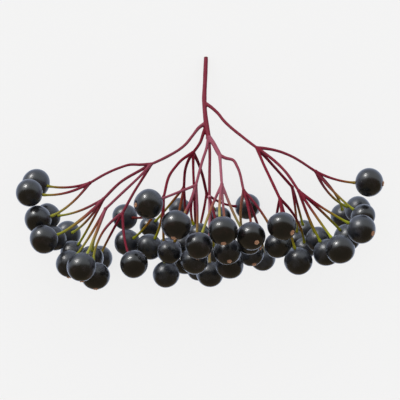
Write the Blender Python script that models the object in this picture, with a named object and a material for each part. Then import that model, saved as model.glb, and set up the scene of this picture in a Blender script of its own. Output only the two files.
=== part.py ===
"""An elderberry cluster as picked, lying on its side: one red stalk that forks again and again,
and at the end of every branch a spray of thin pedicels, each with one black berry.

Blender 4.5, metres, +Z up. The part rests on z = 0 on its lowest berries and on the cut end of
its stalk. X runs across the cluster, +Y towards the cut end. Lengths below are millimetres.
"""

import math

import bpy
import bmesh
import numpy as np
from mathutils import Vector

MM = 0.001

# How stems and berries stand to each other.
BERRY_GAP = 0.35  # between two berries
STEM_GAP = 0.4  # between a stem and a berry or stem that it doesn't grow from
JOINT_GAP = 0.3  # between the end of a branch and the spray that grows on it
FLOOR_GAP = 0.3  # under every berry and stem that doesn't rest
FLAT_DEPTH = 0.25  # what a resting berry loses to its small flat spot
FORK_SPREAD = 0.4  # two stems of a fork part by this share of their distance from it

# Stems.
PEDICEL_ROOT, PEDICEL_TIP = 0.74, 0.62  # diameters at the fork and at the berry
PEDICEL_SINK = 0.9  # how far a pedicel runs into its berry
PEDICEL_STEP, STEM_STEP = 3.4, 3.0  # spacing of the points along them
PEDICEL_SIDES, STEM_SIDES = 6, 8
LEAN = 0.12  # how much of a pedicel's reach it first follows its branch for
DROOP = 0.14  # how far a pedicel first drops from the cut end, as a share of its reach
KNOB_RADIUS = 0.5  # of the swelling that a spray's pedicels grow from
NOD = np.array((0.0, -0.5, -0.1))  # how a berry's scar leans away from the line of its pedicel
FORK_SWELL = 1.2  # a fork's swelling over the stem's own thickness

# Berries.
BERRY_SIDES, BERRY_RINGS = 12, 7
BERRY_SQUASH = 0.96  # length over width of a berry
FACET_GROWTH = 1.02  # so that a berry's few flat faces lie half inside and half outside the round one
CALYX_RADIUS = 0.75  # of the crown-shaped scar at a berry's far end
CALYX_RISE, CALYX_DIP = 0.2, 0.15

FLOOR_SIZE, FLOOR_DEPTH = 140.0, 10.0
WELD = 0.005

# Finding room for every berry and pedicel.
BEADS = 24  # along a pedicel
BEAD_STEP = 0.8  # along a stem
LOOK_AROUND = 5.0  # beads further apart than this never meet
ROUNDS = 200
BERRY_GIVE = 0.5  # how freely a berry gives way, where a pedicel's is 1
SPRINGBACK = 0.5  # how much of a pedicel's added bend is taken out again each round

# Where the stems fork.
FORKS = {
    "cut_end": (1.63, 32.0, 0.46),
    "right_fork": (1.35, 19.0, 6.0),
    "left_fork": (1.1, 13.25, 8.5),
    "mid_fork": (1.4, 12.0, 9.0),
    "crown": (2.25, 9.5, 10.5),
    "right_hub": (14.5, 6.5, 17.0),
    "left_hub": (-12.4, 2.3, 18.0),
    "mid_hub": (-1.75, 5.5, 14.0),
    "near_hub": (5.0, 4.5, 19.0),
    "right_tip": (29.5, 0.5, 17.0),
    "right_outer": (24.25, -4.5, 26.0),
    "right_under": (23.9, -3.4, 12.5),
    "right_inner": (19.5, -6.5, 28.0),
    "left_tip": (-27.75, -2.5, 20.0),
    "left_outer": (-24.5, -6.5, 18.0),
    "left_inner": (-23.25, -9.0, 26.0),
    "left_under": (-19.5, -10.0, 20.0),
    "mid_left": (-9.0, -6.0, 24.0),
    "mid_under": (-4.25, -3.5, 9.0),
    "mid_inner": (-1.5, -4.5, 15.5),
    "mid_floor": (1.75, -5.0, 6.0),
    "near_left": (-1.0, -3.15, 27.0),
    "centre": (2.4, -6.0, 18.5),
    "near_centre": (5.3, -3.0, 29.0),
    "near_right": (10.75, -4.5, 26.0),
}

# Each stem as (fork it grows from, fork it ends at, bends between them, diameters at both ends).
STEMS = (
    ("cut_end", "crown", ((1.37, 25.5, 3.0), (1.15, 19.5, 5.75), (1.45, 15.0, 8.0)), (1.16, 1.3)),
    ("right_fork", "right_hub",
     ((3.25, 17.5, 7.5), (4.75, 16.0, 8.5), (6.0, 14.25, 10.0), (11.4, 9.1, 14.5)), (0.84, 0.72)),
    ("left_fork", "left_hub",
     ((-0.2, 12.25, 9.5), (-1.85, 10.1, 11.0), (-3.7, 7.7, 12.5), (-9.1, 3.95, 16.0)), (0.82, 0.72)),
    ("mid_fork", "mid_hub", ((0.75, 10.25, 10.5), (0.2, 8.5, 11.5), (-0.8, 6.75, 13.0)), (0.9, 0.76)),
    ("crown", "near_hub", ((3.4, 7.9, 13.5), (4.35, 5.9, 16.5)), (1.3, 1.1)),
    ("right_hub", "right_tip", ((16.5, 6.35, 17.0), (20.2, 5.6, 17.0), (23.0, 4.5, 17.0)), (0.76, 0.7)),
    ("right_hub", "right_outer", ((17.75, 4.0, 19.0), (21.2, 0.4, 22.5)), (0.76, 0.7)),
    ("right_hub", "right_under", ((16.9, 4.1, 15.5), (19.7, 1.15, 14.0)), (0.8, 0.72)),
    ("right_hub", "right_inner", ((15.75, 2.75, 20.5), (17.5, -1.75, 25.0)), (0.76, 0.7)),
    ("left_hub", "left_tip",
     ((-15.25, 2.15, 18.5), (-17.75, 2.15, 18.5), (-20.5, 1.3, 19.0), (-23.75, -0.15, 19.5)), (0.72, 0.64)),
    ("left_hub", "left_outer", ((-14.75, 1.0, 17.5), (-20.25, -2.25, 17.0)), (0.8, 0.74)),
    ("left_hub", "left_inner", ((-14.75, -0.45, 20.5), (-20.25, -6.0, 24.5)), (0.7, 0.68)),
    ("left_hub", "left_under", ((-14.5, -1.25, 18.5), (-16.5, -4.5, 19.0)), (0.72, 0.7)),
    ("mid_hub", "mid_left", ((-5.05, 3.05, 17.0), (-6.2, 1.65, 18.25), (-7.5, -0.25, 20.0)), (0.78, 0.68)),
    ("mid_hub", "mid_under", ((-3.0, 3.5, 12.5), (-3.75, 1.5, 11.0)), (0.78, 0.74)),
    ("mid_hub", "mid_inner", ((-1.75, 2.0, 14.25),), (0.7, 0.66)),
    ("mid_hub", "mid_floor", ((-0.5, 3.0, 11.0), (0.5, 0.25, 8.75)), (0.8, 0.8)),
    ("crown", "near_left", ((1.75, 6.75, 14.5), (0.65, 3.25, 19.0)), (0.8, 0.7)),
    ("crown", "centre", ((2.5, 6.25, 12.5), (2.45, -0.25, 15.5)), (0.8, 0.74)),
    ("near_hub", "near_centre", ((5.1, 2.0, 22.5),), (0.78, 0.7)),
    ("near_hub", "near_right", ((6.5, 3.75, 20.0), (8.25, 3.25, 21.0), (9.3, 1.5, 22.5)), (0.8, 0.66)),
)

# The berries of each spray, named for its fork: (x, y, z, radius) where each one hangs.
SPRAYS = {
    "left_tip": ((-42.0, -2.5, 16.0, 3.6), (-42.25, -5.9, 22.5, 3.5), (-40.5, -11.5, 20.25, 3.5)),
    "left_outer": ((-39.5, -11.0, 12.5, 3.35), (-38.25, -16.5, 27.0, 3.55), (-37.4, -16.25, 16.75, 3.25),
                   (-35.5, -16.0, 3.5, 3.5), (-33.0, -20.25, 13.5, 3.3)),
    "left_inner": ((-32.5, -22.75, 22.5, 3.45), (-28.5, -23.0, 31.0, 3.55), (-28.0, -21.5, 17.0, 3.2)),
    "left_under": ((-26.0, -25.5, 24.0, 3.55), (-27.0, -22.5, 3.5, 3.5), (-16.0, -22.2, 31.0, 3.4)),
    "mid_left": ((-19.75, -11.25, 9.0, 3.4), (-18.75, -17.75, 15.0, 3.4), (-12.5, -18.75, 18.5, 3.4),
                 (-8.5, -25.5, 20.0, 3.45)),
    "mid_under": ((-13.5, -14.0, 3.0, 2.8), (-5.5, -9.0, 3.0, 2.9), (-8.5, -19.5, 14.0, 3.3),
                  (-4.5, -18.5, 3.0, 2.95)),
    "mid_inner": ((-0.3, -15.4, 15.0, 2.85), (-0.5, -25.5, 3.2, 3.1)),
    "mid_floor": ((12.75, -8.5, 3.5, 3.45), (5.65, -10.8, 3.2, 3.15), (-4.0, -23.5, 9.5, 3.0)),
    "near_left": ((-12.25, -7.75, 34.0, 3.6), (-5.5, -12.75, 37.0, 3.55), (-7.8, -19.4, 24.5, 3.1),
                  (-2.1, -21.3, 28.0, 3.45)),
    "centre": ((2.5, -25.75, 16.5, 3.4), (7.25, -23.0, 24.0, 3.55), (4.0, -20.5, 6.5, 3.1)),
    "near_centre": ((0.0, -17.2, 36.0, 3.4), (5.0, -14.25, 38.5, 3.55), (7.0, -19.0, 31.0, 3.4),
                    (13.0, -17.25, 28.0, 3.15)),
    "near_right": ((12.0, -15.25, 36.0, 3.4), (13.8, -20.0, 17.5, 3.2), (17.1, -21.5, 11.0, 3.35),
                   (18.6, -17.6, 28.0, 3.25)),
    "right_inner": ((19.25, -13.0, 37.0, 3.45), (20.75, -18.5, 12.0, 2.9), (24.9, -21.45, 25.75, 3.5),
                    (27.0, -19.25, 13.5, 2.85)),
    "right_under": ((28.0, -15.0, 2.9, 2.9), (25.5, -17.5, 8.0, 2.6)),
    "right_outer": ((39.5, -14.0, 27.0, 3.55), (37.5, -16.25, 18.0, 3.5), (30.5, -20.0, 25.5, 3.45),
                    (33.5, -18.5, 33.0, 3.55), (29.75, -16.75, 19.0, 3.25)),
    "right_tip": ((42.5, -2.4, 21.0, 3.65), (38.5, -11.0, 3.5, 3.35), (41.0, -9.25, 12.5, 3.45),
                  (41.0, -11.0, 19.75, 3.1)),
}

# How far the middle of a pedicel sways aside, by spray and number in the spray: (x, y).
SWAYS = {
    ("left_tip", 0): (0.0, 0.35), ("left_tip", 2): (0.0, -1.0), ("left_outer", 0): (0.0, 0.4),
    ("left_outer", 2): (0.0, 0.6), ("left_under", 0): (-3.0, 2.0), ("left_under", 1): (-1.0, 0.0),
    ("mid_left", 0): (2.0, 0.0), ("mid_left", 2): (0.8, 0.0), ("mid_under", 0): (-1.3, 0.0),
    ("mid_under", 3): (0.5, 0.0), ("mid_inner", 0): (-1.3, 0.0),
    ("near_left", 0): (0.0, 1.4), ("near_left", 3): (0.8, 0.0), ("centre", 1): (0.5, 0.0),
    ("near_centre", 0): (-1.1, 0.0), ("near_centre", 1): (-0.7, 0.0), ("near_right", 0): (0.6, 0.0),
    ("near_right", 1): (-1.9, 0.0), ("near_right", 2): (1.3, 0.4), ("near_right", 3): (1.25, 1.25),
    ("right_inner", 1): (-1.6, 0.0),
    ("right_inner", 3): (1.25, 2.2), ("right_outer", 0): (0.0, 1.1), ("right_outer", 1): (0.3, 1.7),
    ("right_outer", 3): (0.7, 0.0), ("right_tip", 0): (0.0, 0.2), ("right_tip", 1): (1.0, 1.1),
    ("right_tip", 2): (-0.9, -1.0),
}

# Which way a berry's scar faces where it doesn't just nod.
SCARS = {
    ("left_tip", 1): (-0.6, -0.3, -0.75), ("left_tip", 2): (-0.6, -0.4, -0.7),
    ("left_outer", 1): (-0.7, -0.5, -0.5), ("left_inner", 0): (0.0, -0.97, 0.2),
    ("left_inner", 1): (0.05, -0.97, 0.2), ("left_under", 0): (0.05, -0.93, 0.33),
    ("left_under", 2): (0.45, -0.8, -0.4), ("mid_floor", 2): (-0.3, -0.8, -0.5),
    ("near_left", 0): (-0.85, -0.07, 0.5), ("near_left", 1): (-0.15, -0.88, 0.42),
    ("near_left", 2): (-0.3, -0.8, -0.5), ("near_left", 3): (-0.1, -0.9, -0.4),
    ("centre", 0): (0.0, -0.9, -0.45), ("centre", 1): (0.2, -0.9, -0.4),
    ("near_centre", 0): (-0.1, -0.93, -0.3), ("near_centre", 1): (0.02, -0.83, 0.53),
    ("near_centre", 2): (0.12, -0.7, 0.69), ("near_centre", 3): (0.83, -0.45, 0.3),
    ("near_right", 0): (0.38, -0.45, 0.8), ("near_right", 1): (0.17, -0.81, 0.56),
    ("near_right", 2): (0.3, -0.85, -0.3), ("near_right", 3): (0.2, -0.8, -0.5),
    ("right_inner", 0): (0.68, -0.42, 0.6), ("right_inner", 2): (0.2, -0.8, -0.55),
    ("right_outer", 0): (0.72, -0.28, 0.63), ("right_outer", 2): (0.3, -0.7, -0.65),
    ("right_outer", 3): (0.4, -0.8, -0.45), ("right_tip", 0): (0.93, -0.1, 0.35),
}

COLOURS = {  # base colour and roughness
    "stalk": ((0.20, 0.018, 0.035), 0.42),
    "berries": ((0.012, 0.012, 0.016), 0.25),
}


# ---- Laying the cluster out, in millimetres ------------------------------------------------


def place(spot):
    """Where a fork or a bend is."""
    return np.array(FORKS[spot] if isinstance(spot, str) else spot, dtype=float)


def smooth_path(points, step):
    """Points about one step apart along a smooth curve through the given points."""
    lengths = np.linalg.norm(np.diff(points, axis=0), axis=1)
    knots = np.concatenate(([0.0], np.cumsum(lengths)))
    slopes = np.gradient(points, knots, axis=0)
    along = np.linspace(0.0, knots[-1], max(3, round(knots[-1] / step) + 1))
    span = np.clip(np.searchsorted(knots, along, side="right") - 1, 0, len(lengths) - 1)
    size = lengths[span][:, None]
    t = (along - knots[span])[:, None] / size
    return ((1 + 2 * t) * (1 - t) ** 2 * points[span] + t * (1 - t) ** 2 * size * slopes[span]
            + t * t * (3 - 2 * t) * points[span + 1] + t * t * (t - 1) * size * slopes[span + 1])


def trimmed(path, length):
    """The path without its last stretch of this length."""
    away = np.linalg.norm(path - path[-1], axis=1)
    last = int(np.nonzero(away > length)[0][-1])
    share = (away[last] - length) / (away[last] - away[last + 1])
    return np.vstack((path[:last + 1], path[last] + share * (path[last + 1] - path[last])))


def stem_path(stem, step):
    """The course of one of the stalk's stems, which stops short of a spray that grows on its end."""
    start, end, bends, _ = stem
    path = smooth_path(np.array([place(spot) for spot in (start, *bends, end)]), step)
    return trimmed(path, KNOB_RADIUS + JOINT_GAP) if end in SPRAYS else path


def pedicel_start(spray, number):
    """The first course of a pedicel, from its fork to the middle of its berry."""
    fork, goal = place(spray), place(SPRAYS[spray][number][:3])
    stem = next(stem for stem in STEMS if stem[1] == spray)
    onward = fork - place(stem[2][-1])
    reach = np.linalg.norm(goal - fork)
    elbow = fork + LEAN * reach * onward / np.linalg.norm(onward) + (0.5 - LEAN) * (goal - fork)
    elbow[1] -= DROOP * reach
    elbow[:2] += 2 * np.array(SWAYS.get((spray, number), (0.0, 0.0)))
    t = np.linspace(0.0, 1.0, BEADS)[:, None]
    return (1 - t) ** 2 * fork + 2 * t * (1 - t) * elbow + t * t * goal


def groups_of_beads():
    """All that needs room, each as (number, family, beads, radius, how freely it gives way).

    A berry and its pedicel share a number. A family is a spray with the stem that it grows on.
    """
    berries = [(spray, number) for spray, group in SPRAYS.items() for number in range(len(group))]
    groups = [(count, spray, place([SPRAYS[spray][number][:3]]), SPRAYS[spray][number][3], BERRY_GIVE)
              for count, (spray, number) in enumerate(berries)]
    groups += [(count, spray, pedicel_start(spray, number), PEDICEL_ROOT / 2, 1.0)
               for count, (spray, number) in enumerate(berries)]
    groups += [(len(berries) + count, stem[1], stem_path(stem, BEAD_STEP), max(stem[3]) / 2, 0.0)
               for count, stem in enumerate(STEMS)]
    return groups, len(berries)


def close_pairs(groups, count):
    """Each two beads that may come too close, with the distance they keep and the first one's share."""
    sizes = [len(beads) for _, _, beads, _, _ in groups]
    number, family, radius, give = (np.repeat([group[i] for group in groups], sizes) for i in (0, 1, 3, 4))
    beads = np.vstack([group[2] for group in groups])
    reach = np.linalg.norm(beads - np.array([place(name) for name in family]), axis=1)
    give = np.where(reach > 0.0, give, 0.0)
    thin = np.arange(len(beads)) >= count
    keep = radius[:, None] + radius + np.where(thin[:, None] | thin, STEM_GAP, BERRY_GAP)
    kin = (family[:, None] == family) & thin[:, None] & thin
    keep[kin] = np.minimum(keep, FORK_SPREAD * np.minimum(reach[:, None], reach))[kin]
    apart = np.sqrt(sum((beads[:, None, axis] - beads[:, axis]) ** 2 for axis in range(3)))
    may_meet = (apart < keep + LOOK_AROUND) & (number[:, None] != number) & (give[:, None] + give > 0.0)
    first, second = np.nonzero(may_meet)
    return first, second, keep[first, second], give[first] / (give[first] + give[second])


def push_apart(beads, pairs):
    """Move beads that stand too close to each other apart."""
    first, second, keep, share = pairs
    between = beads[first] - beads[second]
    gap = np.maximum(np.sqrt((between ** 2).sum(axis=1)), 0.001)
    np.add.at(beads, first, (share * np.maximum(keep - gap, 0.0) / gap)[:, None] * between)


def lay_out():
    """The berries, as (spray, middle, radius, pedicel path), each just clear of its neighbours."""
    groups, count = groups_of_beads()
    pairs = close_pairs(groups, count)
    beads = np.vstack([group[2] for group in groups])
    middles, paths = beads[:count], beads[count:count + count * BEADS].reshape(count, BEADS, 3)
    bend = paths[:, 1:-1] - (paths[:, :-2] + paths[:, 2:]) / 2
    radii = np.array([group[3] for group in groups[:count]])
    resting = middles[:, 2] < radii + FLAT_DEPTH
    for _ in range(ROUNDS):
        push_apart(beads, pairs)
        middles[:, 2] = np.where(resting, radii - FLAT_DEPTH, np.maximum(middles[:, 2], radii + FLOOR_GAP))
        paths[:, :, 2] = np.maximum(paths[:, :, 2], PEDICEL_ROOT / 2 + FLOOR_GAP)
        paths[:, -1] = middles
        paths[:, 1:-1] -= SPRINGBACK * (paths[:, 1:-1] - (paths[:, :-2] + paths[:, 2:]) / 2 - bend)
    return [(group[1], middle, radius, path)
            for group, middle, radius, path in zip(groups, middles, radii, paths)]


def resampled(path, step):
    """The path with its points about one step apart."""
    lengths = np.linalg.norm(np.diff(path, axis=0), axis=1)
    along = np.concatenate(([0.0], np.cumsum(lengths)))
    wanted = np.linspace(0.0, along[-1], max(3, round(along[-1] / step) + 1))
    return np.stack([np.interp(wanted, along, path[:, axis]) for axis in range(3)], axis=1)


def scar_direction(spray, number, radius, path):
    """Which way a berry's scar faces: away from its pedicel, and nodding."""
    onward = path[-1] - trimmed(path, radius)[-1]
    faces = np.array(SCARS.get((spray, number), onward / np.linalg.norm(onward) + NOD))
    return faces / np.linalg.norm(faces)


def to_the_middle(berries):
    """The shift that brings the middle of the whole cluster over the origin."""
    low = np.min([middle - radius for _, middle, radius, _ in berries], axis=0)
    high = np.max([middle + radius for _, middle, radius, _ in berries], axis=0)
    high[1] = FORKS["cut_end"][1]
    return np.array((-(low[0] + high[0]) / 2, -(low[1] + high[1]) / 2, 0.0))


# ---- Building, in metres -------------------------------------------------------------------

def clear_scene():
    for thing in list(bpy.data.objects):
        bpy.data.objects.remove(thing, do_unlink=True)


def new_collection(name):
    collection = bpy.data.collections.new(name)
    bpy.context.scene.collection.children.link(collection)
    return collection


def finish_of(name):
    """A plain material in one of the cluster's colours."""
    colour, roughness = COLOURS[name]
    material = bpy.data.materials.new(name)
    material.use_nodes = True
    shader = material.node_tree.nodes["Principled BSDF"]
    shader.inputs["Base Color"].default_value = (*colour, 1.0)
    shader.inputs["Roughness"].default_value = roughness
    shader.inputs["Metallic"].default_value = 0.0
    return material


def add_mesh(name, mesh, collection, material):
    thing = bpy.data.objects.new(name, mesh)
    collection.objects.link(thing)
    mesh.materials.clear()
    mesh.materials.append(material)
    mesh.shade_smooth()
    return thing


def add_tube(name, path, diameters, sides, collection, material):
    """A closed round stem along a path, its thickness going from the first diameter to the last."""
    curve = bpy.data.curves.new(name, "CURVE")
    curve.dimensions = "3D"
    curve.bevel_depth = MM / 2
    curve.bevel_resolution = sides // 2 - 2
    curve.use_fill_caps = True
    spline = curve.splines.new("POLY")
    spline.points.add(len(path) - 1)
    for dot, spot, share in zip(spline.points, path, np.linspace(0.0, 1.0, len(path))):
        dot.co = (*(spot * MM), 1.0)
        dot.radius = diameters[0] + share * (diameters[1] - diameters[0])
    guide = bpy.data.objects.new(name, curve)
    collection.objects.link(guide)
    mesh = bpy.data.meshes.new_from_object(guide.evaluated_get(bpy.context.evaluated_depsgraph_get()))
    place_of_guide = guide.matrix_world.copy()
    bpy.data.objects.remove(guide)
    bpy.data.curves.remove(curve)
    weld_caps(mesh)
    tube = add_mesh(name, mesh, collection, material)
    tube.matrix_world = place_of_guide
    return tube


def weld_caps(mesh):
    shape = bmesh.new()
    shape.from_mesh(mesh)
    bmesh.ops.remove_doubles(shape, verts=shape.verts, dist=WELD * MM)
    shape.to_mesh(mesh)
    shape.free()


def add_ball(name, middle, radius, collection, material):
    """A small round swelling, such as where stems fork."""
    shape = bmesh.new()
    bmesh.ops.create_uvsphere(shape, u_segments=STEM_SIDES, v_segments=STEM_SIDES // 2, radius=radius * MM)
    mesh = bpy.data.meshes.new(name)
    shape.to_mesh(mesh)
    shape.free()
    ball = add_mesh(name, mesh, collection, material)
    ball.location = middle * MM
    return ball


def add_berry(name, middle, radius, direction, collection, material):
    """A berry that hangs along direction, a little flattened, with its crown-shaped scar at the end."""
    shape = bmesh.new()
    radius *= FACET_GROWTH
    bmesh.ops.create_uvsphere(shape, u_segments=BERRY_SIDES, v_segments=BERRY_RINGS, radius=radius)
    rim = radius * math.cos(math.pi / BERRY_RINGS)
    crown = radius * BERRY_SQUASH + CALYX_RISE
    for vert in shape.verts:
        height = vert.co.z
        vert.co.z *= BERRY_SQUASH
        if height > rim + WELD:
            vert.co.z = crown - CALYX_DIP
        elif height > rim - WELD:
            vert.co.xy *= CALYX_RADIUS / vert.co.xy.length
            vert.co.z = crown
        vert.co *= MM
    mesh = bpy.data.meshes.new(name)
    shape.to_mesh(mesh)
    shape.free()
    berry = add_mesh(name, mesh, collection, material)
    berry.rotation_mode = "QUATERNION"
    berry.rotation_quaternion = Vector(direction).to_track_quat("Z", "Y")
    berry.location = middle * MM
    return berry


def fuse(name, core, pieces, cluster, floor):
    """One closed body from a core and the pieces that grow on it, flat where it meets the floor."""
    join = core.modifiers.new("join", "BOOLEAN")
    join.operation = "UNION"
    join.operand_type = "COLLECTION"
    join.collection = pieces
    join.solver = "EXACT"
    join.material_mode = "TRANSFER"
    bpy.context.view_layer.update()
    mesh = bpy.data.meshes.new_from_object(core.evaluated_get(bpy.context.evaluated_depsgraph_get()))
    body = bpy.data.objects.new(name, mesh)
    body.matrix_world = core.matrix_world.copy()
    cluster.objects.link(body)
    for piece in [core, *pieces.objects]:
        bpy.data.objects.remove(piece)
    bpy.data.collections.remove(pieces)
    rest = body.modifiers.new("rest flat", "BOOLEAN")
    rest.operation = "DIFFERENCE"
    rest.object = floor
    rest.solver = "EXACT"
    return body


def build_stalk(cluster, floor, shift):
    """The stalk with every stem down to the sprays, fused where they fork."""
    red = finish_of("stalk")
    pieces = new_collection("stalk pieces")
    for number, stem in enumerate(STEMS):
        path = stem_path(stem, STEM_STEP) + shift
        add_tube(f"stem {number}", path, stem[3], STEM_SIDES, pieces, red)
    for start in sorted({stem[0] for stem in STEMS[1:]}):
        widest = max(stem[3][0] for stem in STEMS[1:] if stem[0] == start)
        add_ball(start, place(start) + shift, FORK_SWELL * widest / 2, pieces, red)
    core = pieces.objects["stem 0"]
    pieces.objects.unlink(core)
    cluster.objects.link(core)
    return fuse("stalk", core, pieces, cluster, floor)


def build_spray(spray, berries, cluster, floor, shift):
    """A spray: pedicels that grow from one small knob, each sunk into its berry."""
    red, black = finish_of("stalk"), finish_of("berries")
    pieces = new_collection(f"{spray} pieces")
    for number, (_, middle, radius, path) in enumerate(berries):
        depth = radius * BERRY_SQUASH - PEDICEL_SINK
        course = resampled(trimmed(path, depth), PEDICEL_STEP) + shift
        add_tube(f"pedicel {number}", course, (PEDICEL_ROOT, PEDICEL_TIP), PEDICEL_SIDES, pieces, red)
        direction = scar_direction(spray, number, radius, path)
        add_berry(f"berry {number}", middle + shift, radius, direction, pieces, black)
    core = add_ball(f"{spray} knob", place(spray) + shift, KNOB_RADIUS, cluster, red)
    return fuse(f"spray_{spray}", core, pieces, cluster, floor)


def add_floor(cutters):
    """The block below z = 0 that takes off what would stand below it."""
    shape = bmesh.new()
    bmesh.ops.create_cube(shape, size=1.0)
    mesh = bpy.data.meshes.new("below the floor")
    shape.to_mesh(mesh)
    shape.free()
    floor = bpy.data.objects.new("below the floor", mesh)
    floor.scale = (FLOOR_SIZE * MM, FLOOR_SIZE * MM, FLOOR_DEPTH * MM)
    floor.location = (0.0, 0.0, -FLOOR_DEPTH * MM / 2)
    floor.hide_render = True
    floor.display_type = "WIRE"
    cutters.objects.link(floor)
    return floor


def main():
    clear_scene()
    cluster, cutters = new_collection("elderberry cluster"), new_collection("cutters")
    floor = add_floor(cutters)
    berries = lay_out()
    shift = to_the_middle(berries)
    build_stalk(cluster, floor, shift)
    for spray in SPRAYS:
        build_spray(spray, [berry for berry in berries if berry[0] == spray], cluster, floor, shift)


main()
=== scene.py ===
"""A ripe elderberry cluster as picked, lying on its side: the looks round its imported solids.

The stalk, the pedicels, the berries and the scars at their ends are fine meshes that lie where the
solids are. The places of forks and berries and the way they find room are worked out as for the
solids, in millimetres, and the meshes are turned into metres last.
"""

import math

import bpy
import numpy as np
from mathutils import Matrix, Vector


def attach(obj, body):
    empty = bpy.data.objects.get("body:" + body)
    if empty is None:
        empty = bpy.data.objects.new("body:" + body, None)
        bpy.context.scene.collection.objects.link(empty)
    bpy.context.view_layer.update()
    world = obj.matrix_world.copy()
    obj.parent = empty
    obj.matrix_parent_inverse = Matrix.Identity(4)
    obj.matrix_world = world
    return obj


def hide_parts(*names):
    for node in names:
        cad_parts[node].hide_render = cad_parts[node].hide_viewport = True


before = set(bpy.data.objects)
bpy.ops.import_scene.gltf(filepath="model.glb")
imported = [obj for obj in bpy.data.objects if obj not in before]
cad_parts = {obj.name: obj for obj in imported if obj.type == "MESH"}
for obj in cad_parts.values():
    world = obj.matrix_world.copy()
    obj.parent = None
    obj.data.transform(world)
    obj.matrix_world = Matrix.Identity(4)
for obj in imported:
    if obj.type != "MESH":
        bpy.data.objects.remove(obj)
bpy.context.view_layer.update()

MM = 0.001
SEED = 11

# How stems and berries stand to each other, as in the solids.
BERRY_GAP = 0.35  # between two berries
STEM_GAP = 0.4  # between a stem and a berry or stem that it doesn't grow from
FLOOR_GAP = 0.3  # under every berry and stem that doesn't rest
FLAT_DEPTH = 0.25  # what a resting berry loses to its small flat spot
FORK_SPREAD = 0.4  # two stems of a fork part by this share of their distance from it
PEDICEL_ROOT, PEDICEL_TIP = 0.74, 0.62  # diameters at the fork and at the berry
LEAN = 0.12  # how much of a pedicel's reach it first follows its branch for
DROOP = 0.14  # how far a pedicel first drops from the cut end, as a share of its reach
KNOB_RADIUS = 0.5  # of the swelling that a spray's pedicels grow from
NOD = np.array((0.0, -0.5, -0.1))  # how a berry's scar leans away from the line of its pedicel
BEADS = 24  # along a pedicel
BEAD_STEP = 0.8  # along a stem
LOOK_AROUND = 5.0  # beads further apart than this never meet
ROUNDS = 200
BERRY_GIVE = 0.5  # how freely a berry gives way, where a pedicel's is 1
SPRINGBACK = 0.5  # how much of a pedicel's added bend is taken out again each round
JOINT_GAP = 0.3  # between a branch and the spray that grows on its end

# The fine skins.
FINE_STEP = 0.35  # between the rings of a stem
TUBE_SIDES = 14
END_ROUNDING = 0.5  # how far a stem's rounded end stands out, as a share of its radius
ROOT_FLARE, FLARE_LENGTH = 0.2, 2.5  # how much a stem widens towards the fork that it grows from
FORK_SWELL = 1.2  # a fork's swelling, as a share of its widest stem
SKIN_GRAIN = 0.12  # the size of the small faces that stems grow together with
SKIN_EVENING = 4  # how often a skin is smoothed
SKIN_LOSS = 0.012  # what the smoothing takes off a stem's radius
THICKNESS_WAVER = 0.05
WAVER_LENGTH = 6  # rings from one random thickness to the next
POINTS_AT_ONCE = 2000  # of a skin, while the stem under each is looked for
GRAIN_STRETCH = 0.15  # streaks run this much slower along a stem than round it
GRAIN_SHIFT = 20.0  # how far off in the grain each stem's own stretch of it may lie
PEDICEL_SINK = 0.9  # how far a pedicel runs into its berry
PEDICEL_WAIST = 0.03
SEAT_SWELL, SEAT_LENGTH = 0.2, 0.5  # the swelling under a berry

# Berries, with the dimple where the pedicel sits and the basin round the scar.
BERRY_SIDES, BERRY_RINGS = 48, 32
BERRY_SQUASH = 0.96
BERRY_UNEVEN, UNEVEN_WAVES, WAVE_TURNS = 0.013, 4, 3.2
DIMPLE_DEPTH, DIMPLE_WIDTH = 0.16, 0.75
BASIN_DEPTH, BASIN_WIDTH = 0.1, 0.8
ASIDE = (0.31, 0.2, 0.93)  # a way that no scar faces

# The dried crown at a berry's end, ring by ring: how far out, as a share of its radius, how high, how much
# higher and how much further out in a lobe, and how bright a brown.
SCAR_RADIUS, SCAR_RANGE = 0.66, (0.88, 1.1)
SCAR_SIDES, SCAR_LOBES = 50, 5
LOBE_BLUNTNESS, LOBE_UNEVEN, LOBE_BRIGHTER = 0.7, 0.2, 0.3
SCAR_RINGS = ((1.05, -0.12, 0.0, 0.08, 0.0), (1.0, 0.02, 0.02, 0.1, 0.15), (0.86, 0.1, 0.1, 0.08, 0.5),
              (0.7, 0.14, 0.2, 0.02, 0.85), (0.6, 0.12, 0.2, 0.0, 1.0), (0.5, 0.07, 0.06, 0.0, 0.8),
              (0.36, 0.04, 0.0, 0.0, 0.65), (0.22, 0.04, 0.0, 0.0, 0.7), (0.17, 0.1, 0.0, 0.0, 0.85),
              (0.1, 0.14, 0.0, 0.0, 0.9))
SCAR_FOOT, STUB_TOP, STUB_BROWN = -0.3, 0.16, 0.9

# The cut face, ring by ring: how far out, as a share of its radius, and how high.
CUT_RADIUS, CUT_STAND, CUT_SIDES = 0.55, 0.2, 40
CUT_RINGS = ((0.97, -0.12), (1.0, -0.03), (0.96, 0.035), (0.86, 0.03), (0.78, -0.005), (0.55, 0.02),
             (0.3, 0.0))
CUT_FOOT, CUT_MIDDLE = -0.12, 0.01

# How weathered and pink (above 0) or how deep red (below 0) a stem or a spray's pedicels are. Above 0 the
# paleness is partly weathering and partly painted light on the near, higher stems; below 0 the deep red is
# painted shade on the deeper, lower stems. One pedicel that differs from its spray stands by its number.
TINTS = {
    "crown": 0.4, "right_hub": 0.35, "left_hub": 0.6, "mid_hub": -0.5, "near_hub": 1.0,
    "left_tip": 0.45, "left_outer": 0.45, "left_inner": 0.65, "left_under": 0.4,
    "mid_left": 0.0, "mid_under": 0.2, "mid_inner": 0.1, "mid_floor": -0.3,
    "near_left": 0.75, "centre": 0.45, "near_centre": 1.3, "near_right": 0.6,
    "right_inner": 0.15, "right_under": 0.15, "right_outer": 0.3, "right_tip": 0.4,
    ("mid_left", 0): -1.2, ("near_left", 1): 0.95, ("near_left", 2): 0.2, ("centre", 0): 2.2,
    ("near_right", 0): 0.2, ("near_right", 1): 1.0,
}
TINT_VARIES = 0.2

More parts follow.
